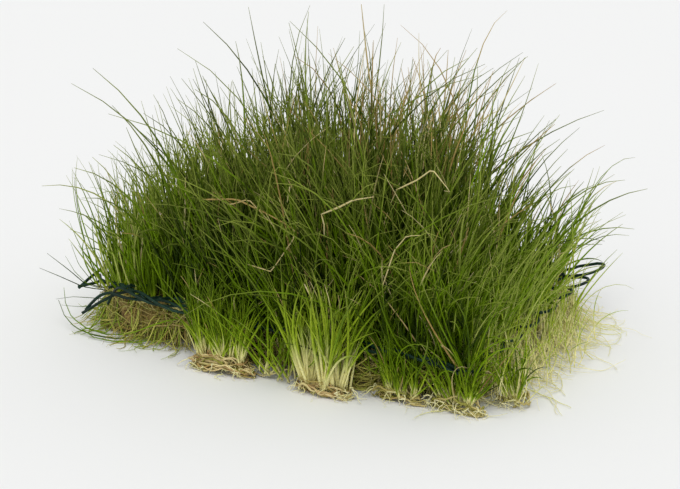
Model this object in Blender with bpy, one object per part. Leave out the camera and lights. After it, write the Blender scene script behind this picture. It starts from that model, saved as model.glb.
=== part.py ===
"""A mound of dwarf hairgrass, grown through coated wire netting that lies on a felted mat of roots.

Metres, +Z up. X runs along the netting's long side and Y along its short side. The origin is on the surface
that the mat lies on, under the middle of the netting.
"""

import math
import random

import bmesh
import bpy
from mathutils import Matrix, Vector

MM = 0.001
SAME_POINT = 0.01 * MM

# Netting: six-sided cells, whose twisted sides run along X
CELL_PITCH_X = 11.5 * MM
CELL_WIDTH = 13.0 * MM
CELL_COLUMNS_EACH_WAY = 6
CELLS_ACROSS = 8
WIRE = 1.1 * MM
NET_HEIGHT = 15.5 * MM
NET_HALF_WIDTH = CELLS_ACROSS * CELL_WIDTH / 2
NET_HALF_LENGTH = (CELL_COLUMNS_EACH_WAY + 2 / 3) * CELL_PITCH_X
FREE_END = 16.0 * MM
FREE_END_RISE = 1.2 * MM
FREE_END_TILT = 3.5 * MM

# Root mat: a flat cushion of felted roots, with locks of loose root hanging from its edge
MAT_LENGTH = 146.0 * MM
MAT_WIDTH = 98.0 * MM
MAT_HEIGHT = 13.7 * MM
MAT_SIDE_LOW = 3.0 * MM
MAT_SIDE_HIGH = 10.0 * MM
MAT_SIDES = 44
MAT_SQUARENESS = 7.0
ROOT_LOCK_RIGHT = 21.0 * MM
ROOT_LOCK_LEFT = 10.0 * MM
ROOT_LOCK_LONG_SIDE = 7.0 * MM
ROOT_LOCK_BEHIND_EDGE_TUFT = 2.5 * MM
ROOT_LOCK_LOWEST = 0.3 * MM
ROOT_LOCK_TIP_RISE = 1.2 * MM
ROOT_LOCK_BEND = 0.45
ROOT_LOCK_SLIMMING = 0.62
MAT_BEVEL = 0.95

# Tufts: one in every third cell, in staggered rows
TUFT_PITCH_X = 2 * CELL_PITCH_X
TUFT_PITCH_Y = 1.5 * CELL_WIDTH
TUFT_ROWS_EACH_WAY = 2
TUFT_FARTHEST_X = 6 * CELL_PITCH_X
TUFT_FARTHEST_Y = TUFT_ROWS_EACH_WAY * TUFT_PITCH_Y
CROWN_RADIUS = 4.6 * MM
CROWN_HALF_HEIGHT = 2.6 * MM
CROWN_ABOVE_NET = 1.5 * MM
TUFT_REACH = 12.7 * MM
TILE_DRAWN_IN = 0.4
TIP_TILE = 0.35
INNER_LOCK_LENGTHS = (0.88, 1.06)
OUTER_LOCK_LENGTHS = (0.68, 0.98)
INNER_BENDS = ((0.42, 0.76, 0.9),)
OUTER_BENDS = ((0.3, 0.82, 0.92), (0.66, 0.7, 1.02))
OUTER_BENDS_IN_THE_MIDDLE = ((0.5, 0.88, 0.96),)
GRASS_HEIGHT = 84.0 * MM
SHORTER_AT_ENDS = (0.28, 0.24)
SHORTER_AT_SIDES = 0.17
TALLER_TO_THE_RIGHT = 3.5 * MM
LOWER_AT_BACK_RIGHT = 20.0 * MM

# Fan: how far the grass leans away from the middle at full height
LEAN_ALONG_X = (13.0 * MM, 10.0 * MM)
LEAN_ALONG_Y = (12.0 * MM, 8.0 * MM)
LEAN_BEND = 1.35

# Edge tufts on the ground in front of the mat: centre x, y, half length, half depth, height
EDGE_TUFTS = (
    (-9.0 * MM, -60.4 * MM, 11.0 * MM, 4.2 * MM, 40.0 * MM),
    (29.0 * MM, -60.7 * MM, 9.5 * MM, 4.5 * MM, 48.0 * MM),
    (52.0 * MM, -57.8 * MM, 5.6 * MM, 2.6 * MM, 38.0 * MM),
    (71.5 * MM, -57.6 * MM, 5.4 * MM, 2.4 * MM, 34.0 * MM),
    (84.8 * MM, -39.4 * MM, 4.3 * MM, 4.3 * MM, 30.0 * MM),
)
EDGE_CROWN_HALF_HEIGHT = 3.0 * MM
EDGE_SPREAD = 1.5
EDGE_INNER_BENDS = ((0.4, 0.56, 0.6),)
EDGE_OUTER_BENDS = ((0.3, 0.7, 1.12), (0.66, 0.56, 1.18))
LEAST_ROOM = 0.3 * MM


def material(name, colour, roughness):
    made = bpy.data.materials.new(name)
    made.use_nodes = True
    shader = made.node_tree.nodes["Principled BSDF"]
    shader.inputs["Base Color"].default_value = (*colour, 1.0)
    shader.inputs["Roughness"].default_value = roughness
    shader.inputs["Metallic"].default_value = 0.0
    return made


def add_object(name, bm, finish, collection):
    mesh = bpy.data.meshes.new(name)
    bm.to_mesh(mesh)
    bm.free()
    mesh.shade_smooth()
    mesh.set_sharp_from_angle(angle=math.radians(50))
    mesh.materials.append(finish)
    obj = bpy.data.objects.new(name, mesh)
    collection.objects.link(obj)
    return obj


def place_of(face):
    """Where a face is, from the lowest up. Sorting by it gives the same order of faces in every run."""
    middle = face.calc_center_median()
    return round(middle.z, 3), round(middle.x, 3), round(middle.y, 3)


def net_rise(x, y):
    """The netting's right end, free of the mat, lifts towards its far corner and droops at its near one."""
    along_end = max(0.0, x - NET_HALF_LENGTH + FREE_END) / FREE_END
    return along_end * (FREE_END_RISE + FREE_END_TILT * y / NET_HALF_WIDTH)


def widen_rim(bm, width):
    """Adds a strip of even width around the outside of a flat mesh."""
    rim = [edge for edge in bm.edges if edge.is_boundary]
    outward = {}
    for edge in rim:
        along = (edge.verts[1].co - edge.verts[0].co).normalized()
        across = edge.verts[0].co - edge.link_faces[0].calc_center_median()
        normal = (across - along * across.dot(along)).normalized()
        for vert in edge.verts:
            outward.setdefault(vert, []).append(normal)
    bmesh.ops.extrude_edge_only(bm, edges=rim)
    for vert, (first, second) in outward.items():
        joined = [edge.other_vert(vert) for edge in vert.link_edges]
        moved = next(other for other in joined if other.is_boundary and other not in outward)
        moved.co += (first + second) / (1 + first.dot(second)) * width


def make_netting(finish, collection):
    """Six-sided cells side by side, each inset to leave its wires, with a ridge along every wire and its
    mirror image below. The long edges are cut straight through the cells, the short ones end in points."""
    bm = bmesh.new()
    quarter_turn = Matrix.Rotation(math.radians(90), 4, "Z")
    for column in range(-CELL_COLUMNS_EACH_WAY, CELL_COLUMNS_EACH_WAY + 1):
        stagger = 0.0 if column % 2 else CELL_WIDTH / 2
        for row in range(-CELLS_ACROSS // 2, CELLS_ACROSS // 2 + 1):
            y = row * CELL_WIDTH + stagger
            if y > NET_HALF_WIDTH + WIRE:
                continue
            cell = bmesh.ops.create_circle(bm, cap_ends=True, segments=6, radius=1.0, matrix=quarter_turn)
            corners = cell["verts"]
            bmesh.ops.scale(bm, verts=corners, vec=(CELL_PITCH_X / 1.5, CELL_WIDTH / math.sqrt(3), 1.0))
            bmesh.ops.translate(bm, verts=corners, vec=(column * CELL_PITCH_X, y, 0.0))
    bmesh.ops.remove_doubles(bm, verts=bm.verts, dist=SAME_POINT)
    for side in (-1, 1):
        bmesh.ops.bisect_plane(
            bm,
            geom=bm.verts[:] + bm.edges[:] + bm.faces[:],
            dist=SAME_POINT,
            plane_co=(0.0, side * NET_HALF_WIDTH, 0.0),
            plane_no=(0.0, side, 0.0),
            clear_outer=True,
        )
    cells = bm.faces[:]
    widen_rim(bm, WIRE / 2)
    bmesh.ops.inset_individual(bm, faces=cells, thickness=WIRE / 2, use_even_offset=True)
    bmesh.ops.delete(bm, geom=cells, context="FACES")
    for vert in bm.verts:
        if not vert.is_boundary:
            vert.co.z = WIRE / 2
    top = bm.verts[:] + bm.edges[:] + bm.faces[:]
    bmesh.ops.mirror(bm, geom=top, matrix=Matrix(), merge_dist=SAME_POINT, axis="Z")
    for vert in bm.verts:
        vert.co.z += NET_HEIGHT + net_rise(vert.co.x, vert.co.y)
    bmesh.ops.recalc_face_normals(bm, faces=bm.faces)
    return add_object("wire_netting", bm, finish, collection)


def root_lock_length(x, y, dice):
    """Long loose roots at the right end, shorter ones elsewhere, and hardly any behind the edge tufts."""
    if y < -MAT_WIDTH / 4 and x > -MAT_LENGTH / 6:
        longest = ROOT_LOCK_BEHIND_EDGE_TUFT
    elif x > 0.4 * MAT_LENGTH:
        longest = ROOT_LOCK_RIGHT
    elif x < -0.4 * MAT_LENGTH:
        longest = ROOT_LOCK_LEFT
    else:
        longest = ROOT_LOCK_LONG_SIDE
    return longest * dice.uniform(0.6, 1.0)


def make_root_mat(finish, collection):
    """A rounded rectangle drawn up in rings from its flat underside, then a lock of root pulled out of
    every side face and let down to the ground."""
    dice = random.Random(4)
    bm = bmesh.new()
    ring = bmesh.ops.create_circle(bm, cap_ends=True, segments=MAT_SIDES, radius=MAT_BEVEL)["verts"]
    for vert in ring:
        across = abs(vert.co.x / MAT_BEVEL) ** MAT_SQUARENESS + abs(vert.co.y / MAT_BEVEL) ** MAT_SQUARENESS
        reach = dice.uniform(0.985, 1.0) * across ** (-1 / MAT_SQUARENESS)
        vert.co = Vector((vert.co.x * reach * MAT_LENGTH / 2, vert.co.y * reach * MAT_WIDTH / 2, 0))
    lid = bm.faces[:][0]
    sides = []
    for height, grow in ((MAT_SIDE_LOW, 1 / MAT_BEVEL), (MAT_SIDE_HIGH, 1.0), (MAT_HEIGHT, MAT_BEVEL)):
        below = lid
        drawn = bmesh.ops.extrude_face_region(bm, geom=[below])["geom"]
        lid = next(item for item in drawn if isinstance(item, bmesh.types.BMFace))
        if height > MAT_SIDE_LOW:
            bmesh.ops.delete(bm, geom=[below], context="FACES_ONLY")
        for vert in lid.verts:
            vert.co = Vector((vert.co.x * grow, vert.co.y * grow, height))
        if height == MAT_SIDE_HIGH:
            sides = [face for edge in lid.edges for face in edge.link_faces if face != lid]
    for lock in bmesh.ops.extrude_discrete_faces(bm, faces=sides)["faces"]:
        middle = lock.calc_center_median()
        outward = Vector((middle.x / MAT_LENGTH, middle.y / MAT_WIDTH, 0.0)).normalized()
        length = root_lock_length(middle.x, middle.y, dice)
        for vert in lock.verts:
            low = vert.co.z < middle.z
            vert.co = middle + (vert.co - middle) * ROOT_LOCK_SLIMMING + outward * length * ROOT_LOCK_BEND
            vert.co.z = ROOT_LOCK_LOWEST if low else middle.z * ROOT_LOCK_SLIMMING
        tip = bmesh.ops.poke(bm, faces=[lock])["verts"][0]
        tip.co = middle + outward * length
        tip.co.z = ROOT_LOCK_LOWEST + dice.random() * ROOT_LOCK_TIP_RISE
    bmesh.ops.recalc_face_normals(bm, faces=bm.faces)
    return add_object("root_mat", bm, finish, collection)


def fan(u, v, z):
    """Where the grass that grows at (u, v) has leant to at height z: outwards, more with height and with
    distance from the middle, so that neighbours keep their order and never cross."""
    height = max(0.0, z - NET_HEIGHT) / GRASS_HEIGHT
    along = u / TUFT_FARTHEST_X
    across = v / TUFT_FARTHEST_Y
    lean = height**LEAN_BEND
    x = u + lean * (LEAN_ALONG_X[0] * along + LEAN_ALONG_X[1] * along**3)
    y = v + lean * (LEAN_ALONG_Y[0] * across + LEAN_ALONG_Y[1] * across**3)
    return Vector((x, y, z))


def grow_tuft(name, root, crown, spread, height, bends, finish, collection, dice):
    """A flattened ball for the crown, and a lock of blades drawn up from each of its upper faces. Seen from
    above, the locks keep to the tiles that the ball's faces make, so they stand close but apart, and the
    six-sided outline of the tiles fits that of the neighbouring tufts.
    root is the crown's middle, crown its half sizes, spread the tuft's reach along X and Y, and bends the
    rings of each inner and outer lock: how high up, how much slimmer than its tile, and its share of the
    reach."""
    bm = bmesh.new()
    bmesh.ops.create_uvsphere(bm, u_segments=6, v_segments=4, radius=1.0)
    rim = max(bm.verts, key=lambda vert: vert.co.xy.length).co
    to_y_axis = Matrix.Rotation(math.pi / 2 - math.atan2(rim.y, rim.x), 3, "Z")
    bmesh.ops.rotate(bm, verts=bm.verts, matrix=to_y_axis)
    upper = [face for face in bm.faces if face.calc_center_median().z > 0]
    locks = sorted(bmesh.ops.extrude_discrete_faces(bm, faces=upper)["faces"], key=place_of)
    plans = [[vert.co.xy.copy() for vert in lock.verts] for lock in locks]
    for vert in bm.verts:
        vert.co = root + Vector((vert.co.x * crown[0], vert.co.y * crown[1], vert.co.z * crown[2]))

    def stand(plan, shrink, share, level):
        """plan is a tile of the unit disc. Its radius is drawn in, so that inner locks are slimmer."""
        middle = sum(plan, Vector((0, 0))) / len(plan)
        spots = [middle + (spot - middle) * shrink for spot in plan]
        spots = [spot * spot.length**TILE_DRAWN_IN * share for spot in spots]
        z = root.z + level * height
        return [fan(root.x + spot.x * spread[0], root.y + spot.y * spread[1], z) for spot in spots]

    for lock, plan in zip(locks, plans):
        inner = len(plan) == 3
        full = dice.uniform(*(INNER_LOCK_LENGTHS if inner else OUTER_LOCK_LENGTHS))
        for number, (level, shrink, share) in enumerate(bends[0 if inner else 1]):
            if number:
                lock = bmesh.ops.extrude_discrete_faces(bm, faces=[lock])["faces"][0]
            for vert, spot in zip(lock.verts, stand(plan, shrink, share, level * full)):
                vert.co = spot
        tip = bmesh.ops.poke(bm, faces=[lock])["verts"][0]
        towards = Vector((dice.uniform(-1, 1), dice.uniform(-1, 1), 0))
        tip.co = max(stand(plan, TIP_TILE, 1.0, full), key=towards.dot)
    return add_object(name, bm, finish, collection)


def grass_height(x, y):
    """The mound's height above the netting: a low dome, a little taller towards the right but with the back
    right corner worn down."""
    along = x / TUFT_FARTHEST_X
    across = y / TUFT_FARTHEST_Y
    dome = 1.0 - SHORTER_AT_ENDS[0] * along**2 - SHORTER_AT_ENDS[1] * along**4 - SHORTER_AT_SIDES * across**2
    worn = max(0.0, (along + across) / 2) ** 2
    return GRASS_HEIGHT * dome + TALLER_TO_THE_RIGHT * along - LOWER_AT_BACK_RIGHT * worn


def make_tufts(finish, collection):
    dice = random.Random(11)
    number = 0
    for row in range(-TUFT_ROWS_EACH_WAY, TUFT_ROWS_EACH_WAY + 1):
        stagger = TUFT_PITCH_X / 2 if row % 2 == 0 else 0.0
        for step in range(-4, 4):
            x = step * TUFT_PITCH_X + stagger
            y = row * TUFT_PITCH_Y
            if abs(x) > TUFT_FARTHEST_X + WIRE:
                continue
            number += 1
            outside = abs(row) == TUFT_ROWS_EACH_WAY or abs(x) > TUFT_FARTHEST_X - TUFT_PITCH_X
            grow_tuft(
                f"tuft_{number:02d}",
                Vector((x, y, NET_HEIGHT + net_rise(x, y) + CROWN_ABOVE_NET)),
                (CROWN_RADIUS, CROWN_RADIUS, CROWN_HALF_HEIGHT),
                (TUFT_REACH, TUFT_REACH),
                grass_height(x, y) * dice.uniform(0.94, 1.04),
                (INNER_BENDS, OUTER_BENDS if outside else OUTER_BENDS_IN_THE_MIDDLE),
                finish,
                collection,
                dice,
            )


def make_edge_tufts(finish, collection):
    dice = random.Random(23)
    for number, (x, y, half_length, half_depth, height) in enumerate(EDGE_TUFTS, start=1):
        grow_tuft(
            f"edge_tuft_{number:02d}",
            Vector((x, y, EDGE_CROWN_HALF_HEIGHT + LEAST_ROOM)),
            (half_length, half_depth, EDGE_CROWN_HALF_HEIGHT),
            (half_length * EDGE_SPREAD, half_depth * EDGE_SPREAD),
            height,
            (EDGE_INNER_BENDS, EDGE_OUTER_BENDS),
            finish,
            collection,
            dice,
        )


def main():
    for obj in list(bpy.data.objects):
        bpy.data.objects.remove(obj)
    hairgrass = bpy.data.collections.new("dwarf hairgrass")
    bpy.context.scene.collection.children.link(hairgrass)
    netting_green = material("netting coating", (0.012, 0.035, 0.030), 0.35)
    root_straw = material("felted roots", (0.42, 0.33, 0.17), 0.9)
    blade_green = material("grass blades", (0.085, 0.145, 0.022), 0.5)
    make_netting(netting_green, hairgrass)
    make_root_mat(root_straw, hairgrass)
    make_tufts(blade_green, hairgrass)
    make_edge_tufts(blade_green, hairgrass)


main()
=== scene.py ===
import math

import bpy
import numpy as np
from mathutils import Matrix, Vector


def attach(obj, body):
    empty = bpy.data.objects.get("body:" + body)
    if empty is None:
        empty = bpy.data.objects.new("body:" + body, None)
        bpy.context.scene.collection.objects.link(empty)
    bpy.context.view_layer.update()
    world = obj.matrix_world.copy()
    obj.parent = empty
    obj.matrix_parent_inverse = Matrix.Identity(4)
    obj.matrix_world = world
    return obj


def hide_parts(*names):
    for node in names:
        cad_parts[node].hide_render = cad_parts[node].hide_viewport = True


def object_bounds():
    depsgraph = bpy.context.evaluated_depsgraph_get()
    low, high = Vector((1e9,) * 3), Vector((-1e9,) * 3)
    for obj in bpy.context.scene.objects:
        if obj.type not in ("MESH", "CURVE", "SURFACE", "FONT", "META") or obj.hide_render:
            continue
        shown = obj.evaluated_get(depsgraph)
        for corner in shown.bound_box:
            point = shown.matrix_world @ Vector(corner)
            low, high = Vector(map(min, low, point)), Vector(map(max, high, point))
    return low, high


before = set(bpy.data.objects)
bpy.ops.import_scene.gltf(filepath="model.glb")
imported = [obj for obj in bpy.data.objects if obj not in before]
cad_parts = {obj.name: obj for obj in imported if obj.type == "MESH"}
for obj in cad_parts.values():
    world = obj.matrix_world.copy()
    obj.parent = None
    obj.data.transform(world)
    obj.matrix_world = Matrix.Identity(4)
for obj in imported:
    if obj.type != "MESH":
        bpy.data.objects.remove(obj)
solids_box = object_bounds()

# Wire netting
# One piece of six-sided netting: 0.9 mm galvanised wire, woven and then coated dark green. Neighbouring wires
# are twisted together along two sides of each cell, turn back in hairpins at the right end and are snipped at
# the left one. Three line wires are wound round each long edge.
MM = 0.001
CELL_PITCH = 11.5 * MM
CELL_WIDTH = 13.0 * MM
COLUMNS_EACH_WAY = 6
ROWS_EACH_WAY = 4
WIRE_RADIUS = 0.52 * MM
WIRE_SIDES = 8
NET_HEIGHT = 15.5 * MM
NET_HALF_WIDTH = ROWS_EACH_WAY * CELL_WIDTH
TWIST_HALF_LENGTH = CELL_PITCH / 3
TURNS_PER_TWIST = 2
NET_HALF_LENGTH = (COLUMNS_EACH_WAY + 2 / 3) * CELL_PITCH
FREE_END = 16.0 * MM
FREE_END_RISE = 1.2 * MM
FREE_END_TILT = 3.5 * MM
LEFT_DROOP = 3.2 * MM
EDGE_PUSH = 2.0 * MM
EDGE_PUSH_PLACE = -51.0 * MM
EDGE_PUSH_WIDTH = 13.0 * MM
HAIRPIN_ROUNDNESS = 0.75
UNTWISTED_END = 12.0 * MM
WIRE_STEP = 0.8 * MM
SWAY = (0.35 * MM, 0.3 * MM, 0.45 * MM)
SWAY_WIDTH = 40 * MM
WOVEN_POINTS = 900
HAIRPIN_POINTS = 60
SNIPPED_POINTS = 9
LINE_WIRES = 3
LINE_WIRE_SPREAD = 0.95 * MM
LINE_WIRE_TURN = 31.0 * MM
LINE_WIRE_START = 62.0 * MM
LINE_WIRE_BACK_END = 56.0 * MM
LINE_WIRE_POINTS = 400
LOOSE_END = 9.0 * MM
UNTWISTED_CORNER = 62.0 * MM
LINE_WIRE_LOOSENESS = 0.6 * MM


class Field:
    """A socket whose number or colour varies over a surface. Arithmetic on it adds Math nodes."""

    def __init__(self, finish, socket):
        self.finish = finish
        self.socket = socket

    def maths(self, operation, first, second):
        """The operation on two values, each of which is a field or a plain number."""
        return self.finish.node("ShaderNodeMath", {"operation": operation}, {0: first, 1: second})

    def __add__(self, other):
        return self.maths("ADD", self, other)

    def __sub__(self, other):
        return self.maths("SUBTRACT", self, other)

    def __rsub__(self, other):
        return self.maths("SUBTRACT", other, self)

    def __mul__(self, other):
        return self.maths("MULTIPLY", self, other)

    def __truediv__(self, other):
        return self.maths("DIVIDE", self, other)

    def __rtruediv__(self, other):
        return self.maths("DIVIDE", other, self)

    __radd__ = __add__
    __rmul__ = __mul__

    def between(self, low, high):
        """0 below low, 1 above high, and a smooth step between them."""
        limits = {"Value": self, "From Min": low, "From Max": high}
        return self.finish.node("ShaderNodeMapRange", {"interpolation_type": "SMOOTHSTEP"}, limits)


class Finish:
    """A surface finish while its nodes are laid out. node() adds any node; the rest are its common uses."""

    def __init__(self, name):
        self.material = bpy.data.materials.new(name)
        self.material.use_nodes = True
        self.tree = self.material.node_tree
        self.shader = self.tree.nodes["Principled BSDF"]

    def node(self, kind, settings, sockets, out=0):
        """Adds a node, then its settings, then a value or a link for each named or numbered socket."""
        made = self.tree.nodes.new(kind)
        for name, value in settings.items():
            setattr(made, name, value)
        self.fill(made, sockets)
        return Field(self, made.outputs[out])

    def fill(self, made, sockets):
        """Gives each named or numbered socket of a node its value, or its link to a field."""
        for name, value in sockets.items():
            if isinstance(value, Field):
                self.tree.links.new(value.socket, made.inputs[name])
            else:
                made.inputs[name].default_value = value

    def place(self, stretch=(1.0, 1.0, 1.0)):
        """The point on the object, in metres, stretched along its axes."""
        point = self.node("ShaderNodeTexCoord", {}, {}, out="Object")
        return self.node("ShaderNodeMapping", {}, {"Vector": point, "Scale": stretch})

    def along_x(self):
        """Where the point is along the netting's long side, in metres."""
        return self.node("ShaderNodeSeparateXYZ", {}, {"Vector": self.place()}, out="X")

    def noise(self, size, detail=3.0, stretch=(1.0, 1.0, 1.0)):
        """Cloudy noise from 0 to 1, whose lumps are about `size` metres across before the stretch."""
        sockets = {"Vector": self.place(stretch), "Scale": 1.0 / size, "Detail": detail}
        return self.node("ShaderNodeTexNoise", {}, sockets)

    def mark(self, name):
        """The number that the mesh keeps at each point under this name."""
        settings = {"attribute_type": "GEOMETRY", "attribute_name": name}
        return self.node("ShaderNodeAttribute", settings, {}, out="Fac")

    def blend(self, share, first, second):
        """From the first colour to the second one as the share goes from 0 to 1. A colour is a field, or red,
        green and blue as they look on a screen."""
        colours = [colour if isinstance(colour, Field) else linear(*colour) for colour in (first, second)]
        sockets = {0: share, 6: colours[0], 7: colours[1]}
        return self.node("ShaderNodeMix", {"data_type": "RGBA"}, sockets, out=2)

    def surface(self, colour, roughness, specular=0.5, height=None, depth=0.0):
        """Fills the shader's sockets, with a bump of this depth in metres from a height between 0 and 1."""
        sockets = {"Base Color": colour, "Roughness": roughness, "Specular IOR Level": specular}
        if height is not None:
            bump = {"Height": height, "Distance": depth, "Strength": 1.0}
            sockets["Normal"] = self.node("ShaderNodeBump", {}, bump)
        self.fill(self.shader, sockets)
        return self.material


def linear(red, green, blue):
    """A colour as it looks on a screen, 0 to 255, as the light values that a shader takes."""
    shown = np.array((red, green, blue)) / 255.0
    light = np.where(shown <= 0.04045, shown / 12.92, ((shown + 0.055) / 1.055) ** 2.4)
    return (*light.tolist(), 1.0)


def unit(vectors):
    """Each vector over its own length."""
    return vectors / np.maximum(np.linalg.norm(vectors, axis=-1, keepdims=True), 1e-12)


def bell(value, middle, width):
    """One at the middle, falling off to both sides as e to the minus square of the distance in widths."""
    return np.exp(-(((value - middle) / width) ** 2))


def ease(value, low, high):
    """0 below low and 1 above high. Between them, with s the share of the way, s squared times (3 - 2 s)."""
    share = np.clip((value - low) / (high - low), 0, 1)
    return share * share * (3 - 2 * share)


def new_object(name, data):
    """A new object at the origin, put into the scene."""
    made = bpy.data.objects.new(name, data)
    bpy.context.scene.collection.objects.link(made)
    return made


def strands(name, lines, radii, hint, sides, marks, material):
    """Round strands carried along many lines at once. With t the line's direction, a the hint made square
    to t, and b = t x a, the skin stands at line + radius (a cos q + b sin q). A flat face closes each end.
    The map gives every strand a column of its own, from its start at the bottom to its end at the top, with
    a margin round it."""
    count, rings = radii.shape
    along = unit(np.gradient(lines, axis=1))
    hint = np.broadcast_to(np.reshape(hint, (-1, 1, 3)), lines.shape)
    square = unit(hint - along * np.sum(hint * along, axis=2, keepdims=True))
    third = np.cross(along, square)
    turn = np.arange(sides) * 2 * np.pi / sides
    skin = square[:, :, None] * np.cos(turn)[:, None] + third[:, :, None] * np.sin(turn)[:, None]
    points = lines[:, :, None] + radii[:, :, None, None] * skin

    corner = np.arange(count * rings * sides).reshape(count, rings, sides)
    after = np.roll(corner, -1, axis=2)
    walls = np.stack([corner[:, :-1], after[:, :-1], after[:, 1:], corner[:, 1:]], axis=-1)
    ends = np.stack([corner[:, 0, ::-1], corner[:, -1]], axis=1)
    loop_sizes = np.repeat((4, sides), (count * (rings - 1) * sides, 2 * count))
    loops = np.concatenate([walls.ravel(), ends.ravel()])

    mesh = bpy.data.meshes.new(name)
    mesh.vertices.add(corner.size)
    mesh.vertices.foreach_set("co", points.astype(np.float32).ravel())
    mesh.loops.add(loops.size)
    mesh.loops.foreach_set("vertex_index", loops.astype(np.int32))
    mesh.polygons.add(loop_sizes.size)
    starts = np.cumsum(loop_sizes) - loop_sizes
    mesh.polygons.foreach_set("loop_start", starts.astype(np.int32))
    mesh.update(calc_edges=True)

    side_margin, end_margin = 0.1, 0.02
    u = np.arange(count)[:, None, None] + side_margin + (1 - 2 * side_margin) * np.arange(sides + 1) / sides
    v = end_margin + (1 - 2 * end_margin) * np.arange(rings)[:, None] / (rings - 1)
    place = np.stack(np.broadcast_arrays(u / count, v), axis=-1)
    wall_map = np.stack([place[:, :-1, :-1], place[:, :-1, 1:], place[:, 1:, 1:], place[:, 1:, :-1]], axis=3)
    end_map = np.stack([place[:, 0, -2::-1], place[:, -1, :-1]], axis=1)
    places = np.concatenate([wall_map.ravel(), end_map.ravel()])
    mesh.uv_layers.new(name="OFBake").uv.foreach_set("vector", places.astype(np.float32))
    for mark, values in marks.items():
        kept = mesh.attributes.new(mark, "FLOAT", "POINT")
        spread = np.broadcast_to(np.reshape(values, (count, -1))[:, :, None], corner.shape)
        kept.data.foreach_set("value", spread.astype(np.float32).ravel())
    mesh.materials.append(material)
    mesh.shade_smooth()
    piece = new_object(name, mesh)
    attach(piece, "root")
    return piece


def net_rise(x, y):
    """The free right end lifts towards its far corner and droops at its near one. The left end droops at its
    near corner too, and the grass pushes the near edge up a little beside it."""
    past_right = np.maximum(0.0, x - NET_HALF_LENGTH + FREE_END) / FREE_END
    past_left = np.maximum(0.0, -x - NET_HALF_LENGTH + FREE_END) / FREE_END
    near_front = np.clip(-y / NET_HALF_WIDTH, 0, 1) ** 2
    pushed_up = EDGE_PUSH * bell(x, EDGE_PUSH_PLACE, EDGE_PUSH_WIDTH)
    right = past_right * (FREE_END_RISE + FREE_END_TILT * y / NET_HALF_WIDTH)
    return right + (pushed_up - LEFT_DROOP * past_left) * near_front


def ripple(dice, points, size, waves=7):
    """Smooth unevenness from about -1 to 1: the sum of sine waves that run in random directions, over 1.3
    times the square root of their number."""
    runs = unit(dice.normal(size=(waves, 3))) * 2 * np.pi / (size * dice.uniform(0.7, 1.5, (waves, 1)))
    return np.sin(points @ runs.T + dice.uniform(0, 2 * np.pi, waves)).sum(axis=-1) / math.sqrt(waves) / 1.3


def weaving_wire(row, side):
    """One wire from left to right. It lies in the twist at y = row in even columns and half a cell to its
    side in odd ones, with a smooth step between, and winds round the twist's middle in whole turns."""
    farthest = NET_HALF_LENGTH - TWIST_HALF_LENGTH
    x = np.linspace(-farthest, farthest, WOVEN_POINTS)
    column = x / CELL_PITCH
    nearest = np.round(column)
    off = np.abs(column - nearest) * 3
    step = ease(off, 0.85, 1.5) / 2
    odd = np.mod(nearest, 2)
    share = np.where(odd > 0, 1 - step, step)
    turn = np.clip((column - nearest) * 3, -1, 1) * np.pi * TURNS_PER_TWIST
    turn = np.where(x > NET_HALF_LENGTH - UNTWISTED_END, 0.0, turn)
    phase = np.where(odd > 0, np.pi, 0.0)
    apart = WIRE_RADIUS * (1.02 + 1.2 * step)
    y = (row + side * share / 2) * CELL_WIDTH + side * apart * np.cos(turn + phase)
    z = NET_HEIGHT + WIRE_RADIUS * 1.02 * np.sin(turn + phase) * (1 - 2 * step)
    return np.stack([x, y, z], axis=1)


def hairpin(start, end):
    """A turn from one wire's end to the next one's. Across, it is the cosine of the way, narrowed at its
    tip, and along, it reaches the cell's tip with a power of the sine."""
    way = np.linspace(0, np.pi, HAIRPIN_POINTS)
    middle = (start + end) / 2
    half = (start - end) / 2
    reach = NET_HALF_LENGTH - start[0]
    out = np.abs(np.sin(way)) ** HAIRPIN_ROUNDNESS
    line = middle + half * np.cos(way)[:, None] * (1 - 0.25 * out[:, None])
    line[:, 0] = start[0] + reach * out
    return line[1:-1]


def drawn(dice, limits, shape):
    """Lengths in metres, drawn evenly between a least and a most in millimetres."""
    return dice.uniform(limits[0] * MM, limits[1] * MM, shape)


def snipped_end(start, tip, dice):
    """A wire's straight way from the tip of its cell, where it was cut, to its last twist."""
    cut = tip + drawn(dice, (-0.6, 0.6), 3)
    return cut + (start - cut) * np.linspace(0, 1, SNIPPED_POINTS)[:-1, None]


def far_along(line):
    """Each point's distance from the line's start: the running sum of the steps between its points."""
    return np.concatenate([[0.0], np.cumsum(np.linalg.norm(np.diff(line, axis=0), axis=1))])


def even_points(line, count):
    """The same line as this many points, at equal distances along it."""
    far = far_along(line)
    at = np.linspace(0, far[-1], count)
    return np.stack([np.interp(at, far, line[:, axis]) for axis in range(3)], axis=1)


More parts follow.
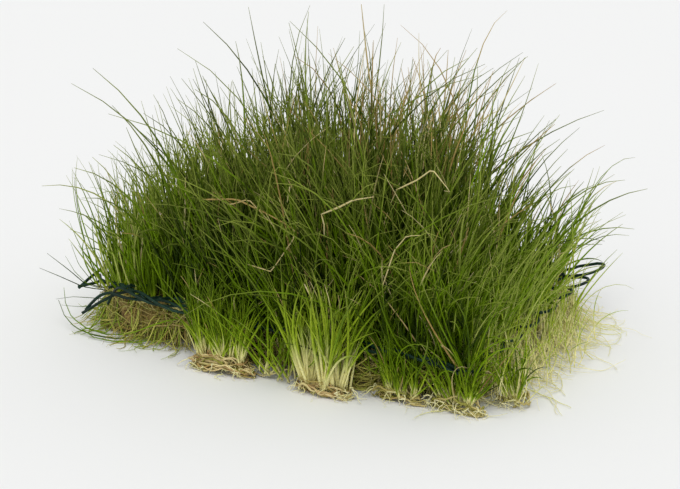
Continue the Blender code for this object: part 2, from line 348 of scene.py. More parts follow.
coat = Finish("dark green wire coating")
clouds = coat.noise(5 * MM)
grain = coat.noise(0.5 * MM, detail=4.0)
colour = coat.blend(clouds.between(0.35, 0.7), (4, 32, 20), (16, 54, 36))
coating = coat.surface(colour, 0.38 + grain * 0.22, 0.25, grain, 0.05 * MM)
dice = np.random.default_rng(2)
wires = []
for row in range(-ROWS_EACH_WAY, ROWS_EACH_WAY):
    near = weaving_wire(row, 1)
    far = weaving_wire(row + 1, -1)
    tip = np.array((-NET_HALF_LENGTH, (row + 0.5) * CELL_WIDTH, NET_HEIGHT))
    first_end = snipped_end(near[0], tip, dice)
    last_end = snipped_end(far[0], tip, dice)
    if row == -ROWS_EACH_WAY:
        near = near[near[:, 0] > -UNTWISTED_CORNER]
        first_end = near[:0]
    wires.append(np.concatenate([first_end, near, hairpin(near[-1], far[-1]), far[::-1], last_end[::-1]]))
for side in (-1, 1):
    for number in range(LINE_WIRES):
        first = -LINE_WIRE_START - dice.uniform(0, 7 * MM)
        last = NET_HALF_LENGTH - TWIST_HALF_LENGTH if side < 0 else LINE_WIRE_BACK_END
        along_edge = np.linspace(first, last, LINE_WIRE_POINTS)
        angle = along_edge / LINE_WIRE_TURN * 2 * np.pi + number * 2 * np.pi / LINE_WIRES
        loose = np.clip((first + LOOSE_END - along_edge) / LOOSE_END, 0, 1) ** 1.5
        out = NET_HALF_WIDTH + loose * dice.uniform(-3, 6) * MM
        spread = LINE_WIRE_SPREAD + LINE_WIRE_LOOSENESS * np.clip(-along_edge / LINE_WIRE_START, 0, 1)
        y = side * out + spread * np.cos(angle)
        z = NET_HEIGHT + spread * np.sin(angle) - loose * dice.uniform(-1, 8) * MM
        wires.append(np.stack([along_edge, y, z], axis=1))
corner_tip = np.array((-NET_HALF_LENGTH, -3.5 * CELL_WIDTH, NET_HEIGHT))
bent_back = np.array(((0, 0, 0), (0.3, 6, 1.5), (0.6, 13, 2.4))) * MM
wires.append(corner_tip + bent_back)
wire_parts = []
for number, line in enumerate(wires):
    line = even_points(line, max(3, round(far_along(line)[-1] / WIRE_STEP)))
    line = line + np.stack([ripple(dice, line, SWAY_WIDTH) for _ in range(3)], axis=1) * SWAY
    line[:, 2] += net_rise(line[:, 0], line[:, 1])
    radii = np.full((1, len(line)), WIRE_RADIUS)
    wire_parts.append(
        strands(f"wire_{number}", line[None], radii, (0, 0.1, 1), WIRE_SIDES, {}, coating)
    )
bpy.context.view_layer.update()
with bpy.context.temp_override(active_object=wire_parts[0], selected_editable_objects=wire_parts):
    bpy.ops.object.join()
netting = wire_parts[0]
netting.name = netting.data.name = "netting_wires"
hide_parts("wire_netting")

# Root mat
# The plant's own roots and creeping stems, felted into a flat cushion under the netting. This is its dense
# core. Single roots wander over its sides and top, and hang from its edge as a loose fringe.
MAT_HALF_LENGTH = 72.4 * MM
MAT_HALF_WIDTH = 48.4 * MM
MAT_HEIGHT = 13.4 * MM
MAT_SQUARENESS = 7.0
MAT_PROFILE = (
    (0.50, 0.35), (0.80, 0.35), (0.92, 0.40), (0.965, 0.9), (0.985, 2.2), (0.995, 4.5),
    (1.0, 7.0), (0.995, 9.5), (0.98, 11.5), (0.955, 12.8), (0.90, 13.4), (0.70, 13.5), (0.40, 13.5),
)
CORE_AROUND = 300
CORE_INSET = 1.1 * MM
CORE_LUMPS = ((1.3, 26), (1.0, 8), (0.4, 3))  # height and width of each layer of lumps, in mm
RIM_POINTS = 4001
UNDER_MIDDLE = 0.35 * MM
TOP_MIDDLE = 13.2 * MM
UNDERCUT = 6.0 * MM
UNDERCUT_GAPS = (
    # where along x it opens, from and to, where it closes, from and to, in mm, and its share of the depth
    (36, 44, 58, 70, 1.0),
    (-4, 4, 16, 22, 1.0),
    (-50, -32, -22, -16, 1.5),
)
LOOSE_RIGHT_END = 7.0 * MM


def rim(turn):
    """The mat's outline: a rounded rectangle, |x/a|^n + |y/b|^n = 1, at each turn round the middle."""
    c, s = np.cos(turn), np.sin(turn)
    reach = (np.abs(c) ** MAT_SQUARENESS + np.abs(s) ** MAT_SQUARENESS) ** (-1 / MAT_SQUARENESS)
    return np.stack([c * reach * MAT_HALF_LENGTH, s * reach * MAT_HALF_WIDTH], axis=-1)


rim_turns = np.linspace(0, 2 * np.pi, RIM_POINTS)
rim_far = far_along(rim(rim_turns))
RIM_LENGTH = rim_far[-1]


def on_rim(far):
    """The outline's point and outward direction at a distance along it, anticlockwise from the right end."""
    turn = np.interp(np.mod(far, RIM_LENGTH), rim_far, rim_turns)
    ahead = unit(rim(turn + 0.002) - rim(turn - 0.002))
    return rim(turn), np.stack([ahead[..., 1], -ahead[..., 0]], axis=-1)


def undercut(x, y):
    """How far the mat's foot draws back under the front edge: in each gap beside the front clumps, the step
    that opens it times one minus the step that closes it."""
    in_front = ease(-y, 0.6 * MAT_HALF_WIDTH, MAT_HALF_WIDTH)
    share = 0.0
    for open_from, open_to, close_from, close_to, depth in UNDERCUT_GAPS:
        opened = ease(x, open_from * MM, open_to * MM)
        share = share + depth * (opened * (1 - ease(x, close_from * MM, close_to * MM)))
    return UNDERCUT * in_front * share


dice = np.random.default_rng(5)
profile = np.array(MAT_PROFILE) * (1.0, MM)
around = np.linspace(0, 2 * np.pi, CORE_AROUND, endpoint=False)
flat = rim(around)[:, None, :] * profile[None, :, :1]
core = np.concatenate([flat, np.broadcast_to(profile[None, :, 1:], flat.shape[:2] + (1,))], axis=2)
bulge = sum(height * MM * ripple(dice, core, width * MM) for height, width in CORE_LUMPS)
outward = unit(core * (MAT_HALF_WIDTH / MAT_HALF_LENGTH, 1.0, 0.0))
on_side = (profile[:, 0] > 0.9) * 1.0
foot = 1 - ease(core[:, :, 2], 2 * MM, 9 * MM)
at_right_end = ease(core[..., 0], 60 * MM, MAT_HALF_LENGTH)
drawn_back = undercut(core[..., 0], core[..., 1]) * foot
drawn_back = drawn_back + LOOSE_RIGHT_END * at_right_end * (0.4 + 0.6 * foot)
core = core + outward * ((bulge - CORE_INSET) * on_side - drawn_back)[..., None]
top_bumps = 0.5 * MM * ripple(dice, core, 7 * MM) - 0.4 * MM
core[:, :, 2] += np.where(profile[:, 1] > 11 * MM, top_bumps, 0.0)
core_points = np.concatenate([core.reshape(-1, 3), [[0, 0, UNDER_MIDDLE], [0, 0, TOP_MIDDLE]]])
spot = np.arange(CORE_AROUND * len(profile)).reshape(CORE_AROUND, len(profile))
beside = np.roll(spot, -1, axis=0)
quads = np.stack([spot[:, :-1], beside[:, :-1], beside[:, 1:], spot[:, 1:]], axis=-1).reshape(-1, 4)
under = np.stack([beside[:, 0], spot[:, 0], np.full(CORE_AROUND, spot.size)], axis=1)
over = np.stack([spot[:, -1], beside[:, -1], np.full(CORE_AROUND, spot.size + 1)], axis=1)
felt_mesh = bpy.data.meshes.new("felted_roots")
felt_mesh.from_pydata(core_points.tolist(), [], quads.tolist() + under.tolist() + over.tolist())
felt_mesh.shade_smooth()

felt = Finish("felted roots")
patches = felt.noise(14 * MM, detail=2.0)
spots = felt.noise(5 * MM)
threads = felt.noise(0.6 * MM, detail=4.0, stretch=(0.25, 0.25, 1.3))
cross = felt.noise(0.5 * MM, stretch=(1.2, 1.2, 0.3))
tan = felt.blend(patches.between(0.4, 0.62), (160, 136, 80), (116, 108, 44))
brown = felt.blend(spots.between(0.55, 0.75), tan, (96, 64, 42))
grey = felt.blend(felt.noise(9 * MM).between(0.6, 0.74) * 0.8, brown, (140, 122, 124))
# Painted light, in part: the felt turns pale straw towards the right end, 52 to 72 mm along. This is partly
# the roots' own colour there and partly the light that comes through the loose right end.
pale = felt.blend(felt.along_x().between(52 * MM, 72 * MM), grey, (246, 236, 170))
height = threads * 0.6 + cross * 0.4
# Painted shade: where the thread relief is low, the felt turns dark brown, for the shade in the hollows
# between the fibres.
colour = felt.blend(height.between(0.3, 0.55), (60, 48, 20), pale)
felt_mesh.materials.append(felt.surface(colour, 0.75 + threads * 0.2, 0.25, height, 0.8 * MM))
felt_core = new_object("felted_roots", felt_mesh)
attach(felt_core, "root")
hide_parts("root_mat")

# Roots on the mat
# Fine roots, 0.2 to 0.5 mm thick, that run round the sides and over the top of the felt, layer on layer.
ROOT_RINGS = 12
SIDE_ROOTS = 900
TOP_ROOTS = 300
way = np.linspace(0, 1, ROOT_RINGS)


def root_finish(name, pale, deep, green, specks, bleached):
    """Root skin in five colours: from pale to deep by each root's own tint, green by its mark, a fine grain
    of specks over it, and paler towards the right end: partly the roots' own straw colour there, partly
    painted light for the light that comes through the loose roots at that end."""
    skin = Finish(name)
    tint = skin.mark("tint")
    patches = skin.noise(12 * MM, detail=2.0)
    grain = skin.noise(0.4 * MM)
    colour = skin.blend((tint * 0.75 + patches * 0.5).between(0.25, 1.0), pale, deep)
    # Painted light, in part: paler towards the right end, 25 to 72 mm along, where light comes through the
    # loose roots.
    colour = skin.blend(skin.along_x().between(25 * MM, 72 * MM) * 0.75, colour, bleached)
    colour = skin.blend(skin.mark("green"), colour, green)
    colour = skin.blend(grain.between(0.3, 0.7) * 0.3, colour, specks)
    return skin.surface(colour, 0.5 + grain * 0.3, 0.3, grain, 0.08 * MM)


def thinning(rings, root, tip):
    """How thick a strand is along its way, as a share of its thickest: it rises from root with the sixth
    power of what is left of the way, and falls to tip with the square of the way."""
    way = np.linspace(0, 1, rings)
    return (1 - (1 - root) * (1 - way) ** 6) * (1 - (1 - tip) * way**2)


def level_way(angle):
    """The level direction at an angle: its cosine and its sine."""
    return np.stack([np.cos(angle), np.sin(angle)], axis=-1)


def wander(heading, steps):
    """The level way from each strand's start: the running sum of its steps along its heading."""
    return np.cumsum(level_way(heading) * steps[..., None], axis=1)


def wiggle(dice, count, way, size, waves):
    """Each strand's own smooth sideways path: two sine waves, with no step at the start."""
    swing = 0.0
    for turns, share in ((waves, 0.65), (waves * 2.3, 0.35)):
        turns = turns * dice.uniform(0.6, 1.4, (count, 1))
        phase = dice.uniform(0, 2 * np.pi, (count, 1))
        swing = swing + share * (np.sin(turns * 2 * np.pi * way + phase) - np.sin(phase))
    return swing * size * dice.uniform(0.4, 1.0, (count, 1))


def lay_roots(name, dice, skin, flat, height, thick, ends, tint, green, hint=(0.05, 0.03, 1), sides=4):
    """Roots from their level places and their heights. Thickness, in millimetres, and tint are drawn between
    a least and a most, and green is its most times a power of a draw from 0 to 1."""
    count, rings = height.shape
    lines = np.concatenate([flat, height[..., None]], axis=2)
    radii = drawn(dice, thick, (count, 1)) * thinning(rings, *ends)
    marks = {"tint": dice.uniform(*tint, count), "green": green[0] * dice.random(count) ** green[1]}
    strands(name, lines, radii, hint, sides, marks, skin)


def roots_round_the_rim(name, seed, skin, count, first, last, lengths, heights, off, thick, greenness):
    """Roots that follow the mat's rim between two distances along it, each at its own wavering height and
    distance off it. The pairs are least and most, in millimetres."""
    dice = np.random.default_rng(seed)
    run = drawn(dice, lengths, (count, 1)) * dice.choice((-1, 1), (count, 1))
    place, out = on_rim(np.clip(dice.uniform(first, last, (count, 1)) + run * way, first, last))
    height = drawn(dice, heights, (count, 1))
    height = np.clip(height + wiggle(dice, count, way, 5.0 * MM, 0.7), 0.45 * MM, 14.0 * MM)
    away = drawn(dice, off, (count, 1)) + wiggle(dice, count, way, 1.4 * MM, 1.0)
    away = away - undercut(place[..., 0], place[..., 1]) * (1 - ease(height, 2 * MM, 9 * MM))
    flat = place + out * away[..., None]
    lay_roots(name, dice, skin, flat, height, thick, (0.5, 0.4), (0, 1), (greenness, 3), hint=(0, 0, 1))


root_skin = root_finish(
    "fine roots", (226, 214, 142), (156, 130, 70), (156, 172, 44), (100, 84, 38), (246, 236, 168),
)
roots_round_the_rim(
    "side_roots", 7, root_skin, SIDE_ROOTS, 0, RIM_LENGTH,
    lengths=(10, 42), heights=(0.6, 13.2), off=(-1.4, 0.8), thick=(0.09, 0.26), greenness=0.9,
)

dice = np.random.default_rng(8)
heading = dice.uniform(0, 2 * np.pi, (TOP_ROOTS, 1)) + wiggle(dice, TOP_ROOTS, way, 0.9, 0.8)
steps = drawn(dice, (10, 30), (TOP_ROOTS, 1)) / (ROOT_RINGS - 1)
start = dice.uniform(-0.93, 0.93, (TOP_ROOTS, 1, 2)) * (MAT_HALF_LENGTH, MAT_HALF_WIDTH)
farthest = np.array((0.98 * MAT_HALF_LENGTH, 0.98 * MAT_HALF_WIDTH))
flat = np.clip(start + wander(heading, steps), -farthest, farthest)
height = MAT_HEIGHT + np.abs(wiggle(dice, TOP_ROOTS, way, 0.7 * MM, 1.2))
lay_roots("top_roots", dice, root_skin, flat, height, (0.1, 0.25), (0.5, 0.4), (0, 1), (1, 5), (0, 0, 1))

# Root fringe
# Loose roots that leave the mat's edge, hang down to the ground and run out over it. They are longest and
# palest at the right end, where the light comes through them.
BACK_LEFT = RIM_LENGTH / 2 - MAT_HALF_WIDTH
FRONT_LEFT = RIM_LENGTH * 0.5 + MAT_HALF_WIDTH * 0.97
FRONT_RIGHT = RIM_LENGTH - MAT_HALF_WIDTH * 0.97


def fringe(name, seed, skin, count, first, last, longest, spread, curl, droop, thick, greenness):
    """Roots from the stretch of rim between two distances along it. A root sets off within the spread of the
    rim's outward direction and turns to and fro by its curl. Its way along is a power of its share, so that
    a high droop lets it hang first and run out over the ground later."""
    dice = np.random.default_rng(seed)
    place, out = on_rim(dice.uniform(first, last, count))
    heading = np.arctan2(out[:, 1], out[:, 0]) + dice.normal(0, spread, count)
    heading = heading[:, None] + wiggle(dice, count, way, curl, 0.8)
    length = longest * MM * dice.uniform(0.1, 1.0, (count, 1)) ** 1.4
    steps = np.diff(way**droop, prepend=0.0) * length
    flat = (place - out * 1.2 * MM)[:, None] + wander(heading, steps)
    top = drawn(dice, (2.0, 15.5), (count, 1))
    fall = np.clip(1 - way / dice.uniform(0.35, 1.2, (count, 1)), 0, 1) ** 1.3
    height = top * fall + np.abs(wiggle(dice, count, way, 1.3 * MM, 1.2)) * (0.3 + way)
    height = np.maximum(height, 0.3 * MM)
    lay_roots(name, dice, skin, flat, height, thick, (0.8, 0.25), (0, 1), (greenness, 2))


straw_skin = root_finish(
    "straw coloured roots", (253, 248, 204), (246, 236, 172), (214, 220, 100), (196, 174, 102),
    (254, 248, 204),
)
runner_skin = root_finish(
    "green runners", (216, 214, 110), (166, 146, 70), (138, 164, 40), (112, 96, 42), (222, 214, 116),
)
fine, coarse = (0.09, 0.22), (0.12, 0.32)
FRINGES = (
    # name, seed, skin, roots, where along the rim it begins and ends, longest in mm, spread, curl, droop,
    # thickness in mm, and greenness
    ("right", 31, straw_skin, 370, -MAT_HALF_WIDTH, 0.97 * MAT_HALF_WIDTH, 25, 0.5, 1.5, 1.3, fine, 0.8),
    ("left", 32, runner_skin, 170, BACK_LEFT, FRONT_LEFT, 15, 0.7, 2.0, 1.2, coarse, 1.4),
    ("back", 33, root_skin, 260, MAT_HALF_WIDTH, BACK_LEFT, 8, 0.6, 0.8, 1.3, fine, 0.5),
    ("front", 34, root_skin, 330, FRONT_LEFT, FRONT_RIGHT, 7, 0.7, 0.9, 1.3, fine, 0.8),
    ("left_corner", 35, runner_skin, 190, FRONT_LEFT - 26 * MM, FRONT_LEFT + 34 * MM, 20, 0.8, 1.6, 1.1,
     coarse, 1.6),
)
for name, *values in FRINGES:
    fringe(f"fringe_{name}", *values)
roots_round_the_rim(
    "runners_front", 36, runner_skin, 80, FRONT_RIGHT - 44 * MM, RIM_LENGTH - 30 * MM,
    lengths=(14, 40), heights=(0.8, 10), off=(0.3, 3.4), thick=(0.2, 0.38), greenness=1.0,
)

# Roots on the ground
# Long single roots that trail over the ground past the right end, and curl.
TRAILING = 34
TRAIL_RINGS = 30
dice = np.random.default_rng(41)
trail_way = np.linspace(0, 1, TRAIL_RINGS)
place, out = on_rim(dice.uniform(-0.6 * MAT_HALF_WIDTH, 1.05 * MAT_HALF_WIDTH, TRAILING))
heading = np.arctan2(out[:, 1], out[:, 0]) + dice.normal(0, 0.5, TRAILING)
curl = dice.normal(0, 2.6, (TRAILING, 1)) * trail_way**1.6
heading = heading[:, None] + curl + wiggle(dice, TRAILING, trail_way, 0.5, 1.5)
steps = drawn(dice, (18, 36), (TRAILING, 1)) / (TRAIL_RINGS - 1)
flat = place[:, None] + wander(heading, steps)
flat[:, :, 0] = np.minimum(flat[:, :, 0], solids_box[1][0] + 8 * MM)
height = 0.35 * MM + np.abs(wiggle(dice, TRAILING, trail_way, 1.2 * MM, 1.3))
height = height + 5 * MM * (1 - trail_way) ** 5
lay_roots("trailing_roots", dice, straw_skin, flat, height, (0.08, 0.2), (0.8, 0.4), (0, 1), (0.7, 1))

# Grass
# Needle-thin upright blades in small rosettes, which stand close together through every cell of the netting
# and fan out from the mound's middle. A blade is pale at its root, bright green above it and grey green, or
# dry and brown, at its fine tip.
TUFT_PITCH_X = 2 * CELL_PITCH
TUFT_PITCH_Y = 1.5 * CELL_WIDTH
TUFT_ROWS_EACH_WAY = 2
TUFTS_REACH = np.array((COLUMNS_EACH_WAY * CELL_PITCH, TUFT_ROWS_EACH_WAY * TUFT_PITCH_Y))
GRASS_HEIGHT = 83.0 * MM
GRASS_FOOT = 12 * MM
ROSETTES = 940
ROSETTES_REACH = (76 * MM, 50 * MM)
BLADES_PER_ROSETTE = 7
SHORT_UP_TO, MIDDLING_UP_TO, TALL_UP_TO = 0.46, 0.87, 0.98
BLADE_RINGS = 10
BLADE_SIDES = 4
LOWEST_BLADE = 0.4 * MM
REACH_PAST_SOLIDS = 6 * MM
EVEN_SHARES = (0.7548776662466927, 0.5698402909980532)
BLADE = np.dtype([
    ("root", "f8", 3), ("height", "f8"), ("low", "f8", 2), ("high", "f8", 2), ("bend", "f8"),
    ("thickness", "f8"), ("tint", "f8"), ("dry", "f8"), ("straw", "f8"), ("pale", "f8"),
])


def mound_height(along, across):
    """The dense grass's height above the netting, from shares of the tufts' reach: a low dome with two swells
    and a raised left end, less what is worn off two corners, the right end and a shoulder near each end."""
    dome = 1.04 - 0.26 * along**2 - 0.24 * along**4 - 0.12 * across**2
    dome = dome + 0.13 * bell(along, 0.33, 0.22) + 0.08 * bell(along, -0.42, 0.3)
    dome = dome + 0.12 * ease(-along, 0.7, 1.0)
    diagonal = (along + across) / 2
    worn = 0.9 * np.maximum(0, diagonal) ** 2 + 0.2 * ease(diagonal, 0.5, 0.8)
    worn = worn + 0.2 * bell(along, 0.7, 0.2) * ease(across, -0.5, 0.4)
    worn = worn + 0.3 * ease(along, 0.7, 1.1)
    worn = worn + 0.4 * bell(along, -0.7, 0.2) + 0.3 * ease(-diagonal, 0.9, 1.15)
    least = (20 + 22 * ease(along, 0.5, 0.85)) * MM
    return np.maximum(GRASS_HEIGHT * dome + 4.0 * MM * along - 27 * MM * worn, least)


def fan_lean(along, across):
    """How far blades lean outwards at their tips, in radians along X and Y: in step with the distance from
    the middle and its cube, more at the right end and less towards the left one."""
    share = 1 - 0.45 * ease(-along, 0.0, 0.7)
    to_right = 0.12 * along + 0.03 * along**3 + 0.45 * ease(along, 0.35, 1.0)
    return np.stack([to_right, 0.20 * across + 0.08 * across**3], axis=-1) * share[..., None]


def grass_finish():
    """Blade skin. from_root is the distance from the root, in metres, and along its share of the length."""
    skin = Finish("grass blades")
    names = ("along", "from_root", "pale", "tint", "dry", "straw")
    along, from_root, pale_part, tint, dry, straw = map(skin.mark, names)
    streak = skin.noise(0.35 * MM, stretch=(1.0, 1.0, 0.08))
    # Painted light and shade, in part: lit adds each blade's own random tint to 18 mm patches, and green runs
    # with it from a near-black green to a bright one. The tint is the blades' own tone. The patches and the
    # near-black end are painted shade for the dark gaps in the dense grass and painted light for its lit
    # bunches.
    patches = skin.noise(18 * MM, detail=1.0)
    lit = (tint * 0.8 + patches * 0.9).between(0.44, 1.32)
    green = skin.blend(lit, (24, 42, 0), (120, 154, 8))
    green = skin.blend(tint.between(0.9, 1.6), green, (204, 212, 116))
    tips = skin.blend(lit, (102, 114, 40), (158, 166, 78))
    fresh = skin.blend(lit, (120, 154, 14), (178, 200, 50))
    grown = from_root / pale_part
    colour = skin.blend(grown.between(0.9, 2.8), fresh, green)
    colour = skin.blend(1 - grown.between(0.3, 1.0), colour, (255, 248, 174))
    # Painted light, in part: the upper half of a blade turns to the grey-green tip colour, which is the
    # blades' own. It does so the more the farther it is from the root, from 10 to 52 mm, so long blades that
    # reach the lit top are light there. Short blades inside keep their darker green, as painted shade.
    colour = skin.blend(along.between(0.5, 1.0) * from_root.between(10 * MM, 52 * MM) * 0.9, colour, tips)
    brown = skin.blend(streak.between(0.35, 0.65), (154, 126, 64), (204, 176, 112))
    bleached = skin.blend(streak.between(0.35, 0.65), (200, 182, 118), (234, 222, 168))
    brown = skin.blend(tint.between(0.45, 0.75), brown, bleached)
    colour = skin.blend((along + dry).between(0.98, 1.1), colour, brown)
    colour = skin.blend(straw, colour, brown)
    colour = skin.blend(streak.between(0.3, 0.75) * 0.35, colour, (32, 48, 0))
    return skin.surface(colour, 0.42 + streak * 0.24, 0.1, streak, 0.04 * MM)


blade_skin = grass_finish()


def blade_lines(blades):
    """A blade's lean is a level vector, whose size is the angle from upright. It goes from low at the root
    to high at the tip with a power of the way along, and the line is the running sum of its directions. A
    blade that would pass the mound's widest or highest reach is drawn in towards its root."""
    way = np.linspace(0, 1, BLADE_RINGS)[None, :, None]
    low, high = blades["low"][:, None], blades["high"][:, None]
    lean = low + (high - low) * way ** blades["bend"][:, None, None]
    angle = np.linalg.norm(lean, axis=2, keepdims=True)
    ahead = np.concatenate([lean * np.sinc(angle / np.pi), np.cos(angle)], axis=2)
    upright = np.clip(np.cos(np.linalg.norm(blades["low"] * 0.45 + blades["high"] * 0.55, axis=1)), 0.6, 1)
    length = blades["height"] / upright
    steps = (ahead[:, 1:] + ahead[:, :-1]) / 2 * (length / (BLADE_RINGS - 1))[:, None, None]
    travel = np.concatenate([np.zeros_like(steps[:, :1]), np.cumsum(steps, axis=1)], axis=1)
    root = blades["root"]
    lowest, highest = np.array(solids_box)
    room_above = highest + REACH_PAST_SOLIDS - root
    room_below = root - lowest + REACH_PAST_SOLIDS
    past = np.maximum(travel.max(axis=1) / room_above, -travel.min(axis=1) / room_below)
    return root[:, None] + travel / np.maximum(past, 1)[:, None], length


def grass(name, node, blades):
    """One tuft's blades as a piece in place of the tuft's solid. They thin out to a seventh at their tips
    with a power of their way, and are a fifth thicker at their roots."""
    lines, length = blade_lines(blades)
    lines[:, :, 2] = np.maximum(lines[:, :, 2], LOWEST_BLADE)
    way = np.linspace(0, 1, BLADE_RINGS)
    radii = blades["thickness"][:, None] * (0.14 + 0.86 * (1 - way**2.4)) * (1 + 0.2 * (1 - way) ** 8)
    leaning = blades["low"] + blades["high"] + 1e-4
    hint = np.stack([-leaning[:, 1], leaning[:, 0], np.zeros(len(blades))], axis=1)
    marks = {"along": np.broadcast_to(way, radii.shape), "from_root": way * length[:, None]}
    marks |= {mark: blades[mark] for mark in ("tint", "dry", "straw", "pale")}
    piece = strands(name, lines, radii, hint, BLADE_SIDES, marks, blade_skin)
    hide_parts(node)


def kept_on_mat(spots):
    """Spots past the mat's rim are drawn straight back towards its middle, to just inside the rim."""
    share = np.abs(spots) / (MAT_HALF_LENGTH - MM, MAT_HALF_WIDTH - MM)
    reach = (share**MAT_SQUARENESS).sum(axis=1, keepdims=True) ** (1 / MAT_SQUARENESS)
    return spots / np.maximum(reach, 1)


dice = np.random.default_rng(12)
# Rosettes are scattered evenly: each step adds the same two odd shares of the width and depth.
spread = np.mod(0.5 + np.arange(1, ROSETTES + 1)[:, None] * EVEN_SHARES, 1) * 2 - 1
rosettes = spread * ROSETTES_REACH + dice.normal(0, 0.9 * MM, spread.shape)
x, y = rosettes.T
bare_back_right = x + 0.3 * y > 86 * MM
bare_front_left = (x < -24 * MM) & (y < -45 * MM)
bare_left = (x < -68 * MM) & (y < -35 * MM)
gaps = ripple(dice, np.pad(rosettes, ((0, 0), (0, 1))), 15 * MM) > 0.78
along, across = (rosettes / TUFTS_REACH).T
thin = 0.45 * ease((along + across) / 2, 0.4, 0.85) + 0.5 * ease(along, 0.82, 1.0)
thin = dice.random(len(rosettes)) < thin
rosettes = rosettes[~(bare_back_right | bare_front_left | bare_left | gaps | thin)]
owner = np.repeat(np.arange(len(rosettes)), BLADES_PER_ROSETTE)
total = len(owner)
vigour = dice.uniform(0.8, 1.08, len(rosettes))[owner]
rosette_tint = dice.random(len(rosettes))[owner]
splay = level_way(dice.uniform(0, 2 * np.pi, total))

# Nearly half of the blades are short and few are tall. A blade's lean adds up from the mound's fan, its lock
# of neighbours, its splay in the rosette and its own stray part.
mound = np.zeros(total, BLADE)
spots = kept_on_mat(rosettes[owner] + splay * drawn(dice, (0.2, 1.6), (total, 1)))
mound["root"][:, :2] = spots
mound["root"][:, 2] = dice.uniform(GRASS_FOOT - 1.5 * MM, GRASS_FOOT + 1.0 * MM, total)
x, y = spots.T
kind = dice.random(total)
short, middling = dice.uniform(0.26, 0.6, total), dice.uniform(0.5, 0.82, total)
tall, tallest = dice.uniform(0.74, 0.98, total), dice.uniform(0.94, 1.04, total)
is_tallest = (kind > TALL_UP_TO) & (np.abs(x) < 50 * MM)
sorts = [kind < SHORT_UP_TO, kind < MIDDLING_UP_TO, is_tallest]
share = np.select(sorts, [short, middling, tallest], tall) * vigour
from_middle = spots / TUFTS_REACH
mound["height"] = mound_height(*from_middle.T) * share + NET_HEIGHT - mound["root"][:, 2]
fan = fan_lean(*from_middle.T)
lock = np.stack([ripple(dice, mound["root"] * (1, 1, 0), 16 * MM) for _ in range(2)], axis=1)
stray = dice.normal(0, 1, (2, total, 2))
past_end = (np.abs(x) > 28 * MM) & (stray[..., 0] * x > 0)
stray[..., 0] *= np.where(past_end & (share > 0.45), 0.35, 1.0)
livelier = 0.25 * ease(-x, 20 * MM, 60 * MM) + 0.35 * ease(x, 15 * MM, 45 * MM)
stray *= 1 + livelier[:, None]
mound["low"] = fan * 0.4 + lock * 0.14 + splay * dice.uniform(0, 0.2, (total, 1)) + stray[0] * 0.17
mound["high"] = fan * dice.uniform(0.5, 1.6, (total, 1)) + lock * 0.22 + stray[1] * 0.38
mound["bend"] = dice.uniform(0.7, 2.4, total)
near_rim = np.abs(from_middle).max(axis=1) > 0.6
wild = near_rim & (share < 0.62) & (dice.random(total) < 0.12)
mound["high"][wild] += (unit(from_middle) * dice.uniform(0.2, 0.6, (total, 1)))[wild]
hooked = (dice.random(total) < 0.08) & (share < 0.8)
mound["high"][hooked] = (unit(mound["high"] + splay * 0.4) * dice.uniform(0.9, 1.9, (total, 1)))[hooked]
mound["bend"][hooked] = 1.9
mound["height"][hooked] *= 0.7
finer = 1 - 0.25 * ease(np.abs(x), 50 * MM, 70 * MM)
mound["thickness"] = drawn(dice, (0.28, 0.48), total) * finer
mound["tint"] = rosette_tint * 0.35 + dice.random(total) ** 1.6 * 0.65
# Painted light, in part: blades rooted towards both ends get a higher tint, which makes them lighter and
# yellower, for the light that comes through the thin blades at the mound's rim. At the right end they are
# also paler yellow-green blades of their own.
mound["tint"] += 0.5 * ease(x, 50 * MM, 70 * MM) + 0.15 * ease(x, 20 * MM, 50 * MM)
mound["tint"] += 0.75 * ease(-x, 24 * MM, 70 * MM)
tan_patch = bell(x, 18 * MM, 17 * MM) * (share > 0.66) * ease(y, -26 * MM, 0)
dry_part = dice.random(total) < 0.05 + 0.75 * tan_patch
mound["dry"] = np.where(dry_part, dice.uniform(0.1, 0.5, total), -0.2)
mound["straw"] = dice.random(total) < 0.012
mound["pale"] = 2 * MM


def edge_blades(count, x, y, z, height, low, high, thickness, tint, pale, bend=(0.8, 2.4), straw=0):
    """Blades at the mound's edges. Values are drawn between a least and a most, with lengths in millimetres,
    and a lean from its spread and its mean along X and Y. Straw is the share of straw coloured blades."""
    made = np.zeros(count, BLADE)
    for axis, limits in enumerate((x, y, z)):
        made["root"][:, axis] = drawn(dice, limits, count)
    made["height"] = drawn(dice, height, count)
    made["low"] = dice.normal(0, low[0], (count, 2)) + low[1:]
    made["high"] = dice.normal(0, high[0], (count, 2)) + high[1:]
    made["bend"] = dice.uniform(*bend, count)
    made["thickness"] = drawn(dice, thickness, count)
    made["tint"] = dice.uniform(*tint, count)
    made["dry"] = np.where(dice.random(count) < 0.1, 0.2, -0.2)
    if straw:
        made["straw"] = dice.random(count) < straw
    made["pale"] = drawn(dice, pale, count)
    return made


# Each call gives blades, x, y, z, height, low and high lean, thickness, tint and pale part.
skirt = edge_blades(
    420, (-16, 76), (-50.5, -43), (3, 13), (16, 52), (0.3, 0, -0.15), (0.7, 0, -0.25), (0.2, 0.36),
    (0.1, 0.85), (1, 4), bend=(0.8, 3.0), straw=0.01,
)
skirt["high"][:, 1] = np.maximum(skirt["high"][:, 1], -0.9)
right_end = edge_blades(
    90, (69, 79), (-48, 20), (1, 12), (12, 42), (0.25, 0.15, 0), (0.35, 0.35, 0), (0.16, 0.3),
    (0.8, 1.5), (4, 16),
)
right_foot = edge_blades(
    88, (76, 90), (-46, 12), (0.5, 8), (7, 24), (0.35, 0.05, 0), (0.7, 0.2, 0), (0.11, 0.2), (1.0, 2.0),
    (5, 22),
)
between = edge_blades(
    34, (3, 19), (-58, -53), (0.5, 3), (10, 32), (0.4, -0.05, -0.1), (0.9, -0.25, -0.1), (0.22, 0.36),
    (0.5, 1.1), (1.5, 6),
)
